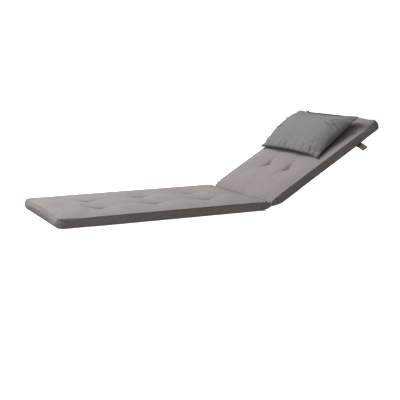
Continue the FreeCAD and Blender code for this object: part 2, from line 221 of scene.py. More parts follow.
# %% Net of a boxed section
class Section:
    """Points and faces of one section, drawn flat: top grid, bottom grid, rings of the band."""

    def __init__(self, length, ties, soft_end):
        self.length, self.ties, self.soft_end = length, ties, soft_end
        rows = np.concatenate([
            np.linspace(0, NECK, round(NECK / FINE_STEP) + 1)[:-1],
            np.linspace(NECK, length - EDGE_IN, round((length - NECK) / STEP) + 1)])
        columns = np.linspace(-0.5, 0.5, round(WIDTH / STEP) + 1) * (WIDTH - 2 * EDGE_IN)
        i, j = np.meshgrid(np.arange(len(rows)), np.arange(len(columns)), indexing="ij")
        self.count, self.shape = i.size, i.shape
        self.flat = np.stack([rows[i].ravel(), columns[j].ravel()], 1)
        plan = self.rounded(self.flat)
        top = np.column_stack([plan, self.top_height(plan)])
        low = np.column_stack([plan, self.low_height(plan)])
        index = i * len(columns) + j
        self.edge = np.concatenate([index[:, 0], index[-1, 1:],
                                    index[-2::-1, -1], index[0, -2:0:-1]])
        rings = []
        outward = plan[self.edge] - plan[self.edge] * (0.9, 0.6)
        outward /= np.maximum(np.linalg.norm(outward, axis=1, keepdims=True), 1e-9)
        soft = smoothstep((plan[self.edge, 0] - length + SOFT_FROM) / SOFT_FROM)
        soft = soft[:, None] * EDGE_ROUND
        for row in range(1, BAND_ROWS):
            share = row / BAND_ROWS
            ring = top[self.edge] * (1 - share) + low[self.edge] * share
            ring[:, :2] += outward * soft * (math.sin(math.pi * share) ** 0.6 - EDGE_BULGE)
            rings.append(ring)
        for grid, down in ((top, -0.6), (low, 0.3)):
            grid[self.edge, :2] -= outward * soft * 0.9
            grid[self.edge, 2:] += soft * down
        self.points = np.concatenate([top, low] + rings)
        self.make_faces(index)

    def rounded(self, flat):
        """Bend the square plan corners of the far end onto arcs."""
        plan = flat.copy()
        far = self.length - EDGE_IN - CORNER
        side = WIDTH / 2 - EDGE_IN - CORNER
        dx = np.clip((flat[:, 0] - far) / CORNER, 0, 1)
        dy = np.clip((np.abs(flat[:, 1]) - side) / CORNER, 0, 1)
        both = (dx > 0) & (dy > 0)
        out = side + CORNER * dy * np.sqrt(1 - dx ** 2 / 2)
        plan[both, 0] = far + CORNER * (dx * np.sqrt(1 - dy ** 2 / 2))[both]
        plan[both, 1] = (np.sign(flat[:, 1]) * out)[both]
        return plan

    def top_height(self, plan):
        taper = np.sqrt(np.clip(1 - (1 - np.clip(plan[:, 0] / TOP_TAPER, 0, 1)) ** 2, 0, 1))
        height = -(SEAM_DEPTH - TIP) + (SEAM_DEPTH - TIP - SEAM_DROP) * taper
        for tie in self.ties:
            away = np.linalg.norm(plan - tie[:2], axis=1)
            height -= TUFT_DEPTH * np.exp(-(away / TUFT_REACH) ** 2)
        return height

    def low_height(self, plan):
        taper = 1 - (1 - np.clip(plan[:, 0] / UNDER_TAPER, 0, 1)) ** 2
        height = -(SEAM_DEPTH + TIP) - (THICK - SEAM_DEPTH - TIP) * taper
        for tie in self.ties:
            away = np.linalg.norm(plan - tie[:2], axis=1)
            height += UNDER_TUFT * np.exp(-(away / UNDER_REACH) ** 2)
        return height

    def calmed(self, moved, passes):
        """Even out small wrinkles in how the top has moved, by averaging neighbours."""
        grid = moved[:self.count].reshape(*self.shape, 3)
        for _ in range(passes):
            wide = np.pad(grid, ((1, 1), (1, 1), (0, 0)), mode="edge")
            around = (wide[:-2, 1:-1] + wide[2:, 1:-1] + wide[1:-1, :-2] + wide[1:-1, 2:]) / 4
            grid[1:-1, 1:-1] += 0.5 * (around - grid)[1:-1, 1:-1]
        return moved

    def make_faces(self, index):
        quads = net_quads(index)
        self.rings = [self.edge] + [
            2 * self.count + row * len(self.edge) + np.arange(len(self.edge))
            for row in range(BAND_ROWS - 1)] + [self.edge + self.count]
        band = [np.stack([upper, lower, np.roll(lower, -1), np.roll(upper, -1)], 1)
                for upper, lower in zip(self.rings[:-1], self.rings[1:])]
        self.faces = np.concatenate([quads, quads[:, ::-1] + self.count] + band)
        self.kind = np.repeat([0, 1, 2], [len(quads), len(quads), len(self.edge) * BAND_ROWS])
        ring = self.points[self.edge][:, :2]
        steps = np.linalg.norm(np.roll(ring, -1, axis=0) - ring, axis=1)
        ends = np.cumsum(steps)
        starts = ends - steps
        cells = []
        for row in range(BAND_ROWS):
            high, down = (np.full_like(starts, -THICK * edge / BAND_ROWS - 1.0)
                          for edge in (row, row + 1))
            corners = (starts, high), (starts, down), (ends, down), (ends, high)
            cells.append(np.stack([np.stack(corner, 1) for corner in corners], 1))
        low_uv = self.flat[quads[:, ::-1]] * (1, -1) + (0, 2 * WIDTH)
        self.uv = np.concatenate([self.flat[quads], low_uv] + cells)


seat = Section(SEAT_LENGTH, seat_ties, soft_end=True)
back = Section(BACK_LENGTH, back_ties, soft_end=False)
print("seat net:", len(seat.points), "points; back net:", len(back.points), "points")

# %% [markdown]
# The foam pushes the cover out everywhere except where thread holds it. Blender's cloth solver
# does the same with a pressure, so each net is pinned at its ties, its seams and its flat
# underside, and swells between them. A little more cloth than foam gives the soft puckers. At
# the foot the top panel runs on over the end face with no seam, so nothing holds it there.

# %% Swell a net with the cloth solver
def swell(name, points, faces, pins, pressure, slack, cap, bend=0.4, frames=20):
    """Run the cloth solver on a net and return where its points end up, at most cap away."""
    thing = mesh_object(name, points, faces)
    group = thing.vertex_groups.new(name="held")
    for weight in np.unique(pins):
        if weight > 0:
            group.add([int(i) for i in np.flatnonzero(pins == weight)], float(weight), "REPLACE")
    modifier = thing.modifiers.new("cloth", "CLOTH")
    cloth = modifier.settings
    cloth.quality = 5
    cloth.mass = 0.15
    cloth.tension_stiffness = cloth.compression_stiffness = 12
    cloth.shear_stiffness = 4
    cloth.bending_stiffness = bend
    cloth.tension_damping = cloth.compression_damping = 12
    cloth.air_damping = 4
    cloth.use_pressure = True
    cloth.uniform_pressure_force = pressure
    cloth.vertex_group_mass = "held"
    cloth.pin_stiffness = 1
    cloth.shrink_min = -slack
    cloth.effector_weights.gravity = 0
    modifier.collision_settings.use_collision = False
    modifier.point_cache.frame_start = 1
    modifier.point_cache.frame_end = frames
    scene = bpy.context.scene
    for number in range(1, frames + 1):
        scene.frame_set(number)
    depsgraph = bpy.context.evaluated_depsgraph_get()
    final = thing.evaluated_get(depsgraph).to_mesh()
    flat = np.zeros(len(points) * 3, np.float32)
    final.vertices.foreach_get("co", flat)
    thing.evaluated_get(depsgraph).to_mesh_clear()
    moved = flat.reshape(-1, 3).astype(float) - points
    length = np.linalg.norm(moved, axis=1, keepdims=True)
    moved *= np.minimum(1, cap / np.maximum(length, 1e-9))
    data = thing.data
    bpy.data.objects.remove(thing)
    bpy.data.meshes.remove(data)
    scene.frame_set(1)
    print("%s: moved %.1f mm at most" % (name, np.linalg.norm(moved, axis=1).max() / MM))
    return points + moved


# %% Swell both sections
TIE_HOLD = 7 * MM
FOLD_HOLD = 3 * MM
PRESSURE = 4.0
SWELL_CAP = 24 * MM
SLACK = 0.008
CROWN_SHARE = 0.62         # firm foam lets the cover rise this much of the way
CALM_PASSES = 7


def swell_section(name, section):
    """Only the top and the band take part: the underside lies flat."""
    used = np.concatenate([np.arange(section.count), section.edge + section.count,
                           np.arange(2 * section.count, len(section.points))])
    place_of = np.full(len(section.points), -1)
    place_of[used] = np.arange(len(used))
    pins = np.zeros(len(section.points))
    for tie in section.ties:
        near = np.linalg.norm(section.points[:, :2] - tie[:2], axis=1) < TIE_HOLD
        pins[:section.count][near[:section.count]] = 1
    free_end = CORNER / 2 if section.soft_end else 3 * CORNER
    pins[section.edge[section.points[section.edge, 0] < section.length - free_end]] = 1
    pins[section.edge + section.count] = 1
    pins[section.points[:, 0] < FOLD_HOLD] = 1
    moved = np.zeros_like(section.points)
    moved[used] = swell(name, section.points[used], place_of[section.faces[section.kind != 1]],
                        pins[used], PRESSURE, SLACK, SWELL_CAP) - section.points[used]
    return section.points + CROWN_SHARE * section.calmed(moved, CALM_PASSES)


for name, section in (("seat_swell", seat), ("back_swell", back)):
    section.swollen = swell_section(name, section)
    rise = section.swollen[:section.count, 2].max()
    print(name, "crown reaches %.1f mm above the CAD face" % (rise / MM))

# %% [markdown]
# Three things happen after the swelling. Each tie draws a shallow valley along the section,
# because the cloth is tighter that way. The cover gathers in small upright folds on the last
# stretch before the fold. And both tips are drawn out until they meet at the sewn line.

# %% Dress the swollen sections
VALLEY = 5.5 * MM
VALLEY_ACROSS = 15 * MM
VALLEY_ALONG = 85 * MM
CROSS_VALLEY = 2.2 * MM
CROSS_ALONG = 70 * MM
DIMPLE = 9.0 * MM
DIMPLE_SIZE = (26 * MM, 11 * MM)
TIE_BOW = 10 * MM          # how far a valley wanders from a straight line
BOW_PITCH = 90 * MM
STRAIGHT_TO = 60 * MM      # it wanders fully only this far from its tie
GATHER = 6.0 * MM
GATHER_PITCH = 20 * MM
GATHER_REACH = 128 * MM
GATHER_INTO_TOP = 34 * MM
GATHER_SINK = 2.5 * MM     # gathered cloth also lies a little lower
TIP_DRAWN = 34 * MM        # over this stretch the tips are drawn to the sewn line
NOTCH = 6 * MM             # how far the sides draw in where the two sections meet
NOTCH_LONG = 13 * MM
NOTCH_WIDE = 50 * MM
HEAD_RISE = 7 * MM         # foam stands a little higher along the head end
HEAD_REACH = 85 * MM
HEAD_MARGIN = 34 * MM
HEAD_SINK = 4.5 * MM       # and its corners a little lower
HEAD_CORNER = 36 * MM


def uneven(values, seed, pitch):
    """A smooth uneven line between -1 and 1, the same in every run."""
    steps = np.random.default_rng(seed).uniform(-1, 1, 400)
    at = np.asarray(values) / pitch + 200
    whole = np.floor(at).astype(int) % 399
    share = smoothstep(at - np.floor(at))
    return steps[whole] * (1 - share) + steps[whole + 1] * share


def dress(section, seed, flat_under=None):
    """Add the valleys, gathers and tips; flat_under presses the top down where it says."""
    points = section.swollen.copy()
    top = points[:section.count]
    for number, tie in enumerate(section.ties):
        dx, dy = top[:, 0] - tie[0], top[:, 1] - tie[1]
        bow = TIE_BOW * uneven(dx, seed + number, BOW_PITCH) * smoothstep(np.abs(dx) / STRAIGHT_TO)
        top[:, 2] -= VALLEY * np.exp(-((dy + bow) / VALLEY_ACROSS) ** 2 - (dx / VALLEY_ALONG) ** 2)
        top[:, 2] -= CROSS_VALLEY * np.exp(-(dx / VALLEY_ACROSS) ** 2 - (dy / CROSS_ALONG) ** 2)
        top[:, 2] -= DIMPLE * np.exp(-(dx / DIMPLE_SIZE[0]) ** 2 - (dy / DIMPLE_SIZE[1]) ** 2)

    def gathers(at, lean=0.0):
        """How strongly the cloth gathers at these points, and how high their wave stands."""
        wander = 1.3 * uneven(at[:, 0], seed, 36 * MM)
        phase = at[:, 0] / GATHER_PITCH * 2 * np.pi + wander
        return smoothstep(1 - at[:, 0] / GATHER_REACH), np.sin(phase + lean)

    for row, ids in enumerate(section.rings[:-1]):
        at = points[ids]
        lean = 0.9 * uneven(np.full(len(ids), row * 8 * MM), seed + 3, 30 * MM)
        fade, wave = gathers(at, lean)
        fade = fade * smoothstep(at[:, 0] / (9 * MM))
        height = math.sin(math.pi * (row + 0.7) / (BAND_ROWS + 0.7))
        sides = np.abs(at[:, 1]) > WIDTH / 2 - CORNER
        points[ids, 1] += (np.sign(at[:, 1]) * GATHER * fade * height * wave) * sides
    off_side = WIDTH / 2 - np.abs(top[:, 1])
    fade, wave = gathers(top)
    fade = fade * np.exp(-off_side / GATHER_INTO_TOP)
    top[:, 2] += 0.6 * GATHER * fade * wave - GATHER_SINK * fade
    if not section.soft_end:
        off_end = section.length - top[:, 0]
        inside = smoothstep(np.minimum(off_end, off_side) / HEAD_MARGIN)
        top[:, 2] += HEAD_RISE * inside * np.exp(-(off_end / HEAD_REACH) ** 2)
        for row, ids in enumerate([np.arange(section.count)] + section.rings[1:-1]):
            at = points[ids]
            corner = np.hypot(section.length - at[:, 0], WIDTH / 2 - np.abs(at[:, 1]))
            share = (1 - row / BAND_ROWS) * np.exp(-(corner / HEAD_CORNER) ** 2)
            points[ids, 2] -= HEAD_SINK * share
    if flat_under is not None:
        low_limit, share = flat_under(top)
        over = np.maximum(top[:, 2] - low_limit, 0)
        top[:, 2] -= over * share
    side = smoothstep(1 - (WIDTH / 2 - np.abs(points[:, 1])) / NOTCH_WIDE)
    points[:, 1] -= np.sign(points[:, 1]) * NOTCH * side * np.exp(-(points[:, 0] / NOTCH_LONG) ** 2)
    half = math.tan(LEAN / 2)
    points[:, 0] += points[:, 2] * half * smoothstep(1 - points[:, 0] / TIP_DRAWN)
    return points


# %% [markdown]
# The head pillow lies on the back section at a slight tilt. Its own directions run along from
# its lower edge, across and above its seam. The way above is the axis that the zip's pull
# swings about, turned round.

# %% Directions and sizes of the pillow
swing = joints["zip_pull_swing"]
above = -np.array(swing["axis"], float)
along = np.cross((0, 1, 0), above)
tilted = Lay((0, 0, 0), along, (0, 1, 0), above)
front_low, front_high = node_box("pillow_front_panel", tilted)
PILLOW_SEAM = (front_low[0], (front_low[1] + front_high[1]) / 2, front_low[2])
pillow_lay = Lay(tilted.out(PILLOW_SEAM), along, (0, 1, 0), above)
front_low, front_high = node_box("pillow_front_panel", pillow_lay)
PILLOW_LENGTH, PILLOW_WIDTH, PILLOW_CROWN = front_high[0], front_high[1] * 2, front_high[2]
PILLOW_UNDER = node_box("pillow_back_panel", pillow_lay)[0][2]
tape_low, tape_high = node_box("pillow_zip_tape", pillow_lay)
print("pillow %.0f x %.0f, %.0f above and %.0f below its seam; zip %.0f long" % (
    PILLOW_LENGTH / MM, PILLOW_WIDTH / MM, PILLOW_CROWN / MM, -PILLOW_UNDER / MM,
    (tape_high[1] - tape_low[1]) / MM))

# %% [markdown]
# Under the pillow the back section is pressed flat, so that the pillow's hook strip lies on it.

# %% Dress the two sections
PRESSED_MARGIN = 45 * MM
PRESSED_HEIGHT = -0.5 * MM


def under_pillow(top):
    """Highest the pad may stand under the pillow, and how fully that holds."""
    world = back_lay.out(top)
    local = pillow_lay.back(world)
    inside = np.minimum(np.minimum(local[:, 0], PILLOW_LENGTH - local[:, 0]),
                        PILLOW_WIDTH / 2 - np.abs(local[:, 1]))
    return PRESSED_HEIGHT, smoothstep(inside / PRESSED_MARGIN)


seat.dressed = dress(seat, seed=11)
back.dressed = dress(back, seed=29, flat_under=under_pillow)
print("sections dressed")

# %% [markdown]
# ## Materials
# Every cloth here is drawn by its threads. A woven cloth has warp threads one way and weft
# threads across. A melange yarn mixes light and dark fibres, which gives short streaks along
# each thread. Real threads are about 0.6 mm apart, too fine to show from a few metres away, so
# they are drawn about four times as coarse.

# %% Colours and one helper for nodes
def linear(text):
    """An sRGB hex colour as linear red, green, blue and alpha."""
    parts = [int(text[i:i + 2], 16) / 255 for i in (0, 2, 4)]
    return (*(p / 12.92 if p <= 0.04045 else ((p + 0.055) / 1.055) ** 2.4 for p in parts), 1.0)


def add(tree, kind, values=None, links=None, **settings):
    """Add a node, set its options and input values, and link outputs to its inputs."""
    made = tree.nodes.new(kind)
    for name, value in settings.items():
        setattr(made, name, value)
    for socket, value in (values or {}).items():
        made.inputs[socket].default_value = value
    for socket, output in (links or {}).items():
        tree.links.new(output, made.inputs[socket])
    return made


def new_material(name):
    made = bpy.data.materials.new(name)
    made.use_nodes = True
    return made, made.node_tree, made.node_tree.nodes["Principled BSDF"]


def colour_between(tree, shader, dark, light, share):
    """Give the shader a mix of two sRGB hex colours."""
    colour = add(tree, "ShaderNodeMix", {"A": linear(dark), "B": linear(light)},
                 {"Factor": share}, data_type="RGBA")
    tree.links.new(colour.outputs["Result"], shader.inputs["Base Color"])


def raised(tree, shader, height, relief, distance):
    """Give the shader a fine relief, distance metres high."""
    bump = add(tree, "ShaderNodeBump", {"Strength": relief, "Distance": distance},
               {"Height": height})
    tree.links.new(bump.outputs[0], shader.inputs["Normal"])


# %% Woven cloth
PATCH_SIZE = 0.16          # metres across one lighter or darker patch
RIB_PITCH = 0.0065         # metres from rib to rib; a wave texture repeats every pi / 10


def woven_cloth(name, dark, light, thread, streak, contrast, sheen, rough, relief, ribs=0.0):
    """Plain-weave cloth of melange yarn; thread is the drawn spacing in metres."""
    made, tree, shader = new_material(name)
    place = add(tree, "ShaderNodeTexCoord").outputs["UV"]
    streaks = []
    for scale in ((1 / streak, 1 / thread, 1 / thread), (1 / thread, 1 / streak, 1 / thread)):
        drawn = add(tree, "ShaderNodeMapping", {"Scale": scale}, {"Vector": place})
        streak_noise = add(tree, "ShaderNodeTexNoise",
                           {"Scale": 1.0, "Detail": 2.0, "Roughness": 0.6},
                           {"Vector": drawn.outputs[0]})
        streaks.append(streak_noise.outputs[0])
    both = add(tree, "ShaderNodeMath", links={0: streaks[0], 1: streaks[1]}, operation="ADD")
    patch = add(tree, "ShaderNodeTexNoise", {"Scale": 1 / PATCH_SIZE, "Detail": 3.0},
                {"Vector": place})
    worn = add(tree, "ShaderNodeMath", {1: 0.55}, {0: patch.outputs[0], 2: both.outputs[0]},
               operation="MULTIPLY_ADD")
    middle = 1.275             # the usual value of two streaks of 0.5 and 0.55 of a patch
    spread = add(tree, "ShaderNodeMapRange",
                 {"From Min": middle - contrast, "From Max": middle + contrast},
                 {"Value": worn.outputs[0]})
    if ribs:
        rib = add(tree, "ShaderNodeTexWave", {
            "Scale": math.pi / 10 / RIB_PITCH, "Distortion": 1.6, "Detail": 1.0,
            "Detail Scale": 0.02}, {"Vector": place})
        factor = add(tree, "ShaderNodeMath", {1: ribs}, {0: rib.outputs[0], 2: spread.outputs[0]},
                     operation="MULTIPLY_ADD")
    else:
        factor = spread
    colour_between(tree, shader, dark, light, factor.outputs[0])
    threads = [add(tree, "ShaderNodeTexWave", {"Scale": math.pi / 10 / thread, "Distortion": 0.4},
                   {"Vector": place}, bands_direction=way).outputs[1] for way in ("X", "Y")]
    weave = add(tree, "ShaderNodeMath", links={0: threads[0], 1: threads[1]}, operation="MULTIPLY")
    height = add(tree, "ShaderNodeMath", {1: 0.5}, {0: both.outputs[0], 2: weave.outputs[0]},
                 operation="MULTIPLY_ADD")
    raised(tree, shader, height.outputs[0], relief, thread / 3)
    shader.inputs["Roughness"].default_value = rough
    shader.inputs["Sheen Weight"].default_value = sheen
    shader.inputs["Sheen Roughness"].default_value = 0.5
    shader.inputs["IOR"].default_value = 1.5
    return made


# Acrylic-polyester melange of the top: warm grey, matt, with a soft sheen of loose fibres.
top_cloth = woven_cloth("melange_top_cloth", "5a5452", "837c7a", 2.4 * MM, 26 * MM,
                        0.55, 0.10, 0.88, 0.30)
# The pillow's cloth is the same yarn, drawn a little darker and cooler than the top cloth.
pillow_cloth = woven_cloth("melange_pillow_cloth", "4d4848", "736e6e", 2.4 * MM, 26 * MM,
                           0.55, 0.10, 0.88, 0.30)
# The same yarn in a ribbed band cloth, drawn darker than the top cloth: the darker colours are
# painted shade of the long sides.
painted_shade_band_cloth = woven_cloth("ribbed_painted_shade_cloth", "4f4744", "776e6a", 2.4 * MM, 40 * MM,
                         0.45, 0.06, 0.90, 0.30, ribs=0.35)
# Polypropylene webbing of the fastening tabs: dark, coarse and slightly glossy.
webbing = woven_cloth("woven_webbing", "2b2522", "4a413c", 2.0 * MM, 9 * MM, 0.30, 0.05, 0.60, 0.55)
# Polyester tape of the zip.
zip_tape_cloth = woven_cloth("woven_zip_tape", "5a5350", "736b68", 1.2 * MM, 8 * MM,
                             0.30, 0.05, 0.75, 0.3)
# Satin of the care label, white satin drawn pale grey: smooth, the threads floating along it.
label_satin = woven_cloth("label_satin", "8b8d84", "adafa6", 0.8 * MM, 9 * MM,
                          0.4, 0.15, 0.45, 0.15)
# Brushed nylon loops that the hooks catch in.
brushed_loops = woven_cloth("brushed_loop_tape", "2d2724", "4c443f", 1.1 * MM, 2.5 * MM,
                            0.3, 0.35, 0.95, 0.9)
cloths = (top_cloth, pillow_cloth, painted_shade_band_cloth, webbing, zip_tape_cloth, label_satin, brushed_loops)
print("cloths:", ", ".join(cloth.name for cloth in cloths))


# %% Thread, moulded hooks, coil and enamelled metal
def plain_finish(name, dark, light, grain, rough, rough_spread, relief, ior=1.5, sheen=0.0):
    """A solid material whose colour and roughness vary a little over grain, in metres."""
    made, tree, shader = new_material(name)
    place = add(tree, "ShaderNodeTexCoord").outputs["Object"]
    noise = add(tree, "ShaderNodeTexNoise", {"Scale": 1 / grain, "Detail": 4.0}, {"Vector": place})
    colour_between(tree, shader, dark, light, noise.outputs[0])
    gloss = add(tree, "ShaderNodeMapRange",
                {"To Min": rough - rough_spread, "To Max": rough + rough_spread},
                {"Value": noise.outputs[0]})
    tree.links.new(gloss.outputs[0], shader.inputs["Roughness"])
    raised(tree, shader, noise.outputs[0], relief, grain / 4)
    shader.inputs["IOR"].default_value = ior
    shader.inputs["Sheen Weight"].default_value = sheen
    return made


# Bonded polyester sewing thread: dark, a little glossy, fuzzy at the edges.
thread = plain_finish("polyester_thread", "2e2927", "473f3b", 1.2 * MM, 0.55, 0.1, 0.3, sheen=0.2)
# Nylon hooks, moulded, hard and slightly glossy.
hook_nylon = plain_finish("moulded_nylon_hooks", "574f46", "776d60", 1.5 * MM, 0.42, 0.08, 0.2,
                          ior=1.53)
# Polyester monofilament of the zip's coil: smooth and glossy.
coil_plastic = plain_finish("polyester_coil", "57504d", "6c6461", 1.0 * MM, 0.35, 0.06, 0.1,
                            ior=1.57)
# Die-cast zinc under satin enamel in the cloth's colour: smooth, a little glossier where rubbed.
zip_enamel = plain_finish("enamelled_zinc", "655e5c", "7d7572", 2.5 * MM, 0.38, 0.1, 0.15)
finishes = (thread, hook_nylon, coil_plastic, zip_enamel)
print("finishes:", ", ".join(finish.name for finish in finishes))

# %% [markdown]
# ## The two cushions
# Each section's net is laid in place as one cushion. The edges of the side band are marked sharp,
# because a boxed seam is a crease, except where the top runs on over the foot end.

# %% Cushions
HALF = LEAN / 2
PINCH = FOLD + SEAM_DEPTH / math.cos(HALF) * np.array([math.sin(HALF), 0, -math.cos(HALF)])
ACROSS_FOLD = np.array([math.cos(HALF), 0, math.sin(HALF)])
FOOT_WRAP = CORNER * 0.42  # the end face starts this far from the foot end


def cushion(name, section, lay, wraps_foot):
    """One section's cover; where it wraps the foot, the end face is of the top cloth too."""
    # The band cloth's darker colours are painted shade of the long sides; the end face at the foot
    # keeps the top cloth.
    slots = (section.kind != 0).astype(int)
    if wraps_foot:
        middle = section.points[section.faces].mean(1)
        slots[(section.kind == 2) & (middle[:, 0] > section.length - FOOT_WRAP)] = 0
    made = mesh_object(name, lay.out(section.dressed), section.faces, section.uv,
                       [top_cloth, painted_shade_band_cloth], slots)
    ends = np.sort(edge_ends(made), axis=1)
    sharp = np.zeros(len(ends), bool)
    for ring, soft in ((section.rings[0], wraps_foot), (section.rings[-1], False)):
        pairs = np.sort(np.stack([ring, np.roll(ring, -1)], 1), axis=1)
        seam = {tuple(pair) for pair in pairs.tolist()}
        on_seam = np.array([tuple(pair) in seam for pair in ends.tolist()])
        unseamed = soft & (section.points[ends[:, 0], 0] > section.length - CORNER)
        sharp |= on_seam & ~unseamed
    mark_sharp(made, sharp)
    print(name, len(made.data.polygons), "faces")
    return made


seat_cushion = cushion("seat_cushion", seat, seat_lay, True)
back_cushion = cushion("back_cushion", back, back_lay, False)
for piece, nodes in (
        (seat_cushion, ("seat_foam_core", "seat_top_panel", "seat_side_band",
                        "seat_bottom_panel")),
        (back_cushion, ("back_foam_core", "back_top_panel", "back_side_band",
                        "back_bottom_panel"))):
    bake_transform(piece)
    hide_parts(*nodes)

# %% [markdown]
# ## The sewn fold
# Both covers are sewn to one narrow binding, which takes the place of the CAD's web. It is a
# small rolled strip that follows the sewn line and ends a little inside the cushions' sides.

# %% Fold binding
BINDING_HALF = (3.2 * MM, 5.2 * MM)     # half its width and half its height
web_low, web_high = node_box("fold_web", seat_lay)
stations = np.linspace(web_low[1] + NOTCH, web_high[1] - NOTCH, 130)
SIDES = 8
turns = np.linspace(0, 2 * math.pi, SIDES + 1)[:-1]
UP_FOLD = np.array([-math.sin(HALF), 0, math.cos(HALF)])
rolled = []
for number, y in enumerate(stations):
    swell_here = 1 + 0.12 * uneven([y], 5, 17 * MM)[0]
    end = 0.25 if number in (0, len(stations) - 1) else 1.0
    for turn in turns:
        round_it = (BINDING_HALF[0] * math.cos(turn) * ACROSS_FOLD
                    + BINDING_HALF[1] * math.sin(turn) * UP_FOLD)
        rolled.append(PINCH + (0, y, 0) + end * swell_here * round_it)
rings = np.arange(len(rolled)).reshape(-1, SIDES)
faces = tube_faces(rings) + [tuple(rings[0][::-1]), tuple(rings[-1])]
uv = [(stations[corner // SIDES], (corner % SIDES) * 2.5 * MM) for face in faces for corner in face]
# The binding takes the band cloth, whose darker colours are painted shade.
fold_binding = mesh_object("fold_binding", rolled, faces, uv, [painted_shade_band_cloth])
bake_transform(fold_binding)
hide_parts("fold_web")
print("fold binding:", len(faces), "faces")

# %% [markdown]
# ## The head pillow
# The pillow is two panels sewn round their edge. It starts as a low lens and the solver fills
# it. Its corners are held, and so is its upper seam where the stiff zip runs. The other sides
# are free to pull in between the corners, as on a real pillow. A filled seam is shorter than
# the panels it joins, so the cloth stands in small folds across it.

# %% Net of the pillow
PILLOW_STEP = 6.0 * MM
CORNER_HOLD = 9 * MM
PULL_IN = 13 * MM          # how far the sides start inside the line between two corners
CREASES = 34               # short pulled wrinkles, set a little way in from the seam
ZIP_GAP = 1.2 * MM         # the cover ends this far short of the zip's tape
PUCKER = 9.5 * MM
POINTED = 9 * MM           # how far the filled corners stand out
POINTED_REACH = 26 * MM
BELLY = 25 * MM            # how far the filling sags over the lower seam
BELLY_AT = 24 * MM
BELLY_REACH = 30 * MM
CLEAR_OF_PAD = 2.2 * MM
ROOM_ABOVE, ROOM_BELOW = 6 * MM, 3 * MM     # left free in the lens for the solver to fill
PILLOW_PRESSURE = 2.6
PILLOW_SLACK = 0.022
PILLOW_BEND = 0.25
rows = np.linspace(0, 1, round(PILLOW_LENGTH / PILLOW_STEP) + 1)
columns = np.linspace(-1, 1, round(PILLOW_WIDTH / PILLOW_STEP) + 1)
i, j = np.meshgrid(np.arange(len(rows)), np.arange(len(columns)), indexing="ij")
u, v = rows[i].ravel(), columns[j].ravel()
index = i * len(columns) + j
ZIP_LINE = tape_low[0] - ZIP_GAP
zip_share = smoothstep((tape_high[1] + 30 * MM - np.abs(v) * PILLOW_WIDTH / 2) / (45 * MM))
low_edge = PULL_IN * np.sin(np.pi * (v + 1) / 2) ** 0.7
high_edge = (PILLOW_LENGTH - ZIP_LINE) * zip_share
side_in = PULL_IN * 0.8 * np.sin(np.pi * u) ** 0.7
x = low_edge + u * (PILLOW_LENGTH - low_edge - high_edge)
y = v * (PILLOW_WIDTH / 2 - side_in)
off_edge = np.minimum(np.minimum(u, 1 - u) * PILLOW_LENGTH, (1 - np.abs(v)) * PILLOW_WIDTH / 2)
rim = off_edge < 1e-6
dome = (1 - (1 - np.clip(np.minimum(u, 1 - u) * 2, 0, 1)) ** 2.4) ** 0.62
dome *= (1 - (1 - np.clip((1 - np.abs(v)) * 2.2, 0, 1)) ** 2.6) ** 0.62
front_points = np.column_stack([x, y, (PILLOW_CROWN - ROOM_ABOVE) * dome])
under_points = np.column_stack([x, y, (PILLOW_UNDER + ROOM_BELOW) * dome])
under_id = np.full(index.size, -1)
inner = np.flatnonzero(~rim)
under_id[inner] = index.size + np.arange(len(inner))
under_id[rim] = np.flatnonzero(rim)
quads = net_quads(index)
pillow_points = np.concatenate([front_points, under_points[inner]])
pillow_faces = np.concatenate([quads, under_id[quads[:, ::-1]]])
flat_uv = np.column_stack([u * PILLOW_LENGTH, v * PILLOW_WIDTH / 2])
pillow_uv = np.concatenate([flat_uv[quads], flat_uv[quads[:, ::-1]] + (1.0, 0)])
print("pillow net:", len(pillow_points), "points")

# %% Fill the pillow
pins = np.zeros(len(pillow_points))
at_corner = np.maximum(np.minimum(u, 1 - u) * PILLOW_LENGTH,
                       (1 - np.abs(v)) * PILLOW_WIDTH / 2) < CORNER_HOLD
on_zip = (u > 1 - 1e-6) & (np.abs(y) < tape_high[1])
pins[:index.size][at_corner & rim] = 1
pins[:index.size][on_zip] = 1
filled = swell(
    "pillow_fill", pillow_points, pillow_faces, pins, PILLOW_PRESSURE, PILLOW_SLACK, SWELL_CAP,
    PILLOW_BEND)

# %% [markdown]
# The solver leaves the broad shape. The small folds along the seam and the short wrinkles
# inside it are added by rule, each a little different. Then the underside is pressed onto the
# pad, where the loop strip is sewn.

# %% Folds along the seam, and the side that rests on the pad
filled = filled.copy()
is_front = np.zeros(len(filled), bool)
is_front[:index.size] = True
all_u = np.concatenate([u, u[inner]])
all_v = np.concatenate([v, v[inner]])
depth_low = all_u * PILLOW_LENGTH
depth_high = (1 - all_u) * PILLOW_LENGTH
depth_side = (1 - np.abs(all_v)) * PILLOW_WIDTH / 2
side_sign = np.where(is_front, 1.0, -1.0)
off_rim = np.minimum(np.minimum(depth_low, depth_high), depth_side)
for depth, run, seed, share, pitch, reach in (
        (depth_low, all_v * PILLOW_WIDTH / 2, 41, 0.75, 40 * MM, 46 * MM),
        (depth_high, all_v * PILLOW_WIDTH / 2, 43, 0.4, 44 * MM, 40 * MM),
        (depth_side, all_u * PILLOW_LENGTH, 47, 1.35, 46 * MM, 84 * MM)):
    along_seam = run + 16 * MM * uneven(run, seed + 4, 58 * MM) + 0.3 * depth
    wave = np.cos(along_seam / pitch * 2 * np.pi + 1.5 * uneven(depth, seed, 60 * MM))
    strength = np.clip(0.45 + 0.75 * uneven(run, seed + 1, 52 * MM), 0.05, 1)
    far = reach * (1 + 0.5 * uneven(run, seed + 2, 47 * MM))
    fold = -(0.5 + 0.5 * wave) ** 2.6 * np.exp(-(depth / far) ** 1.5)
    fold *= smoothstep(depth / (10 * MM))
    filled[:, 2] += side_sign * PUCKER * share * strength * fold
    filled[:, 2] += 0.6 * MM * wave * np.exp(-depth / (12 * MM))
rng = np.random.default_rng(17)
